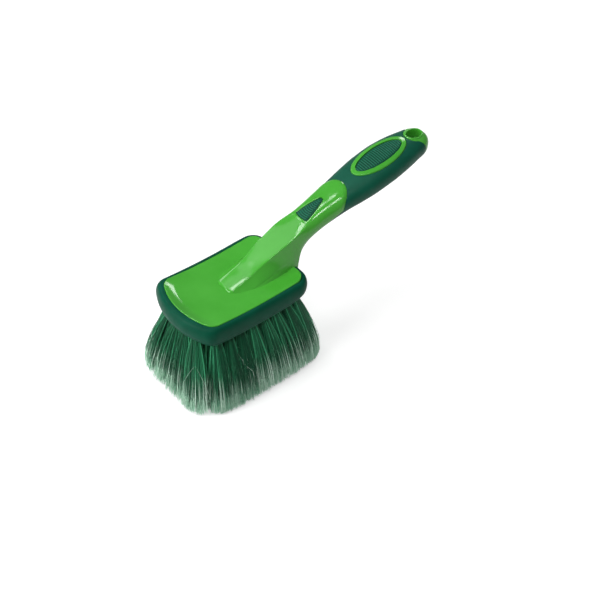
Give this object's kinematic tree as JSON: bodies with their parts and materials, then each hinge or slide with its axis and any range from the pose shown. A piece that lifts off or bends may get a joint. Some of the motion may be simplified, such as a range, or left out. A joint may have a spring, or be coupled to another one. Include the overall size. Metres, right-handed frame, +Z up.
{
  "type": "hand brush",
  "caption": "Soft wash brush with a bowed-nose head, rubber rim, tufts of flared filament, and a raised curved handle with a rubber grip, a thumb pad and a hanging hole.",
  "frame": {"origin": "on the floor below the middle of the bounding box, with the brush standing on its trimmed filament tips", "axes": "+X runs from the nose of the head to the hanging end of the handle, +Y to the left seen from the nose, +Z up"},
  "size_m": [0.2708, 0.1054, 0.1434],
  "materials": {
    "leaf_green_plastic": "glossy moulded plastic, leaf green",
    "dark_green_rubber": "satin soft rubber, dark green",
    "green_filament": "soft dark green filament with paler flagged tips"
  },
  "bodies": {
    "root": {"brush_body": "leaf_green_plastic", "grip_pad": "dark_green_rubber", "grip_sleeve": "dark_green_rubber", "rim_bumper": "dark_green_rubber", "thumb_pad": "dark_green_rubber", "tuft_1_2": "green_filament", "tuft_1_3": "green_filament", "tuft_1_4": "green_filament", "tuft_1_5": "green_filament", "tuft_2_1": "green_filament", "tuft_2_2": "green_filament", "tuft_2_3": "green_filament", "tuft_2_4": "green_filament", "tuft_2_5": "green_filament", "tuft_2_6": "green_filament", "tuft_3_1": "green_filament", "tuft_3_2": "green_filament", "tuft_3_3": "green_filament", "tuft_3_4": "green_filament", "tuft_3_5": "green_filament", "tuft_3_6": "green_filament", "tuft_4_1": "green_filament", "tuft_4_2": "green_filament", "tuft_4_3": "green_filament", "tuft_4_4": "green_filament", "tuft_4_5": "green_filament", "tuft_4_6": "green_filament", "tuft_5_1": "green_filament", "tuft_5_2": "green_filament", "tuft_5_3": "green_filament", "tuft_5_4": "green_filament", "tuft_5_5": "green_filament", "tuft_5_6": "green_filament", "tuft_6_1": "green_filament", "tuft_6_2": "green_filament", "tuft_6_3": "green_filament", "tuft_6_4": "green_filament", "tuft_6_5": "green_filament", "tuft_6_6": "green_filament", "tuft_7_1": "green_filament", "tuft_7_2": "green_filament", "tuft_7_3": "green_filament", "tuft_7_4": "green_filament", "tuft_7_5": "green_filament", "tuft_7_6": "green_filament", "tuft_8_1": "green_filament", "tuft_8_2": "green_filament", "tuft_8_3": "green_filament", "tuft_8_4": "green_filament", "tuft_8_5": "green_filament", "tuft_8_6": "green_filament", "tuft_9_1": "green_filament", "tuft_9_2": "green_filament", "tuft_9_3": "green_filament", "tuft_9_4": "green_filament", "tuft_9_5": "green_filament", "tuft_9_6": "green_filament"}
  },
  "joints": []
}
